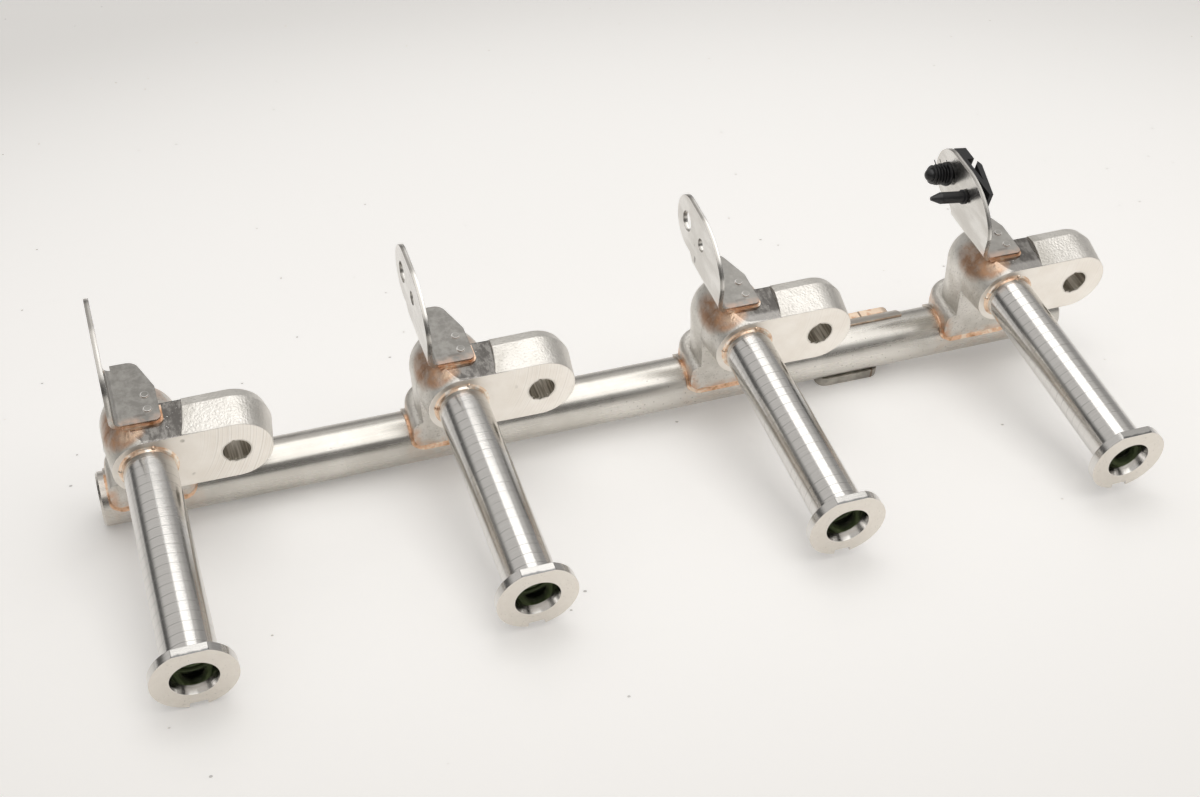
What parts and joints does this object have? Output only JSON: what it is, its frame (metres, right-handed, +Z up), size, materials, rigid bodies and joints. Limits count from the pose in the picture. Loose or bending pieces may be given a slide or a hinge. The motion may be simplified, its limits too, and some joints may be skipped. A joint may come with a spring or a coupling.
{
  "type": "fuel rail",
  "caption": "Brazed stainless fuel rail for a direct-injection petrol engine: tube, bolted mounting blocks, long injector cups, bent harness brackets and a black clip.",
  "frame": {"origin": "middle of the line of four bolt holes, on the clamping face", "axes": "+X along the rail from the plain end to the long end, +Y from the clamping face back towards the rail, +Z up, so the injector cups point along -Y"},
  "size_m": [0.3429, 0.1251, 0.0805],
  "materials": {
    "rail_tube": "drawn stainless tube, satin",
    "rail_plug": "turned stainless, satin",
    "mounting_block": "forged stainless, blasted, with milled faces",
    "injector_cup": "turned stainless, bright, with fine tool marks",
    "cup_seal": "green elastomer",
    "bolt_sleeve": "rolled spring steel, dull",
    "harness_bracket": "pressed stainless sheet, dull on top, bright tab",
    "harness_clip": "black nylon",
    "port_block": "forged stainless",
    "braze": "copper braze, satin"
  },
  "bodies": {
    "root": {"rail_tube": "rail_tube", "rail_plug_left": "rail_plug", "rail_plug_right": "rail_plug", "mounting_block_1": "mounting_block", "injector_cup_1": "injector_cup", "cup_seal_1": "cup_seal", "bolt_sleeve_1": "bolt_sleeve", "harness_bracket_1": "harness_bracket", "cup_braze_1": "braze", "foot_braze_1": "braze", "bracket_braze_1": "braze", "mounting_block_2": "mounting_block", "injector_cup_2": "injector_cup", "cup_seal_2": "cup_seal", "bolt_sleeve_2": "bolt_sleeve", "harness_bracket_2": "harness_bracket", "cup_braze_2": "braze", "foot_braze_2": "braze", "bracket_braze_2": "braze", "mounting_block_3": "mounting_block", "injector_cup_3": "injector_cup", "cup_seal_3": "cup_seal", "bolt_sleeve_3": "bolt_sleeve", "harness_bracket_3": "harness_bracket", "cup_braze_3": "braze", "foot_braze_3": "braze", "bracket_braze_3": "braze", "mounting_block_4": "mounting_block", "injector_cup_4": "injector_cup", "cup_seal_4": "cup_seal", "bolt_sleeve_4": "bolt_sleeve", "harness_bracket_4": "harness_bracket", "cup_braze_4": "braze", "foot_braze_4": "braze", "bracket_braze_4": "braze", "harness_clip": "harness_clip", "port_block": "port_block", "port_braze": "braze"}
  },
  "joints": []
}
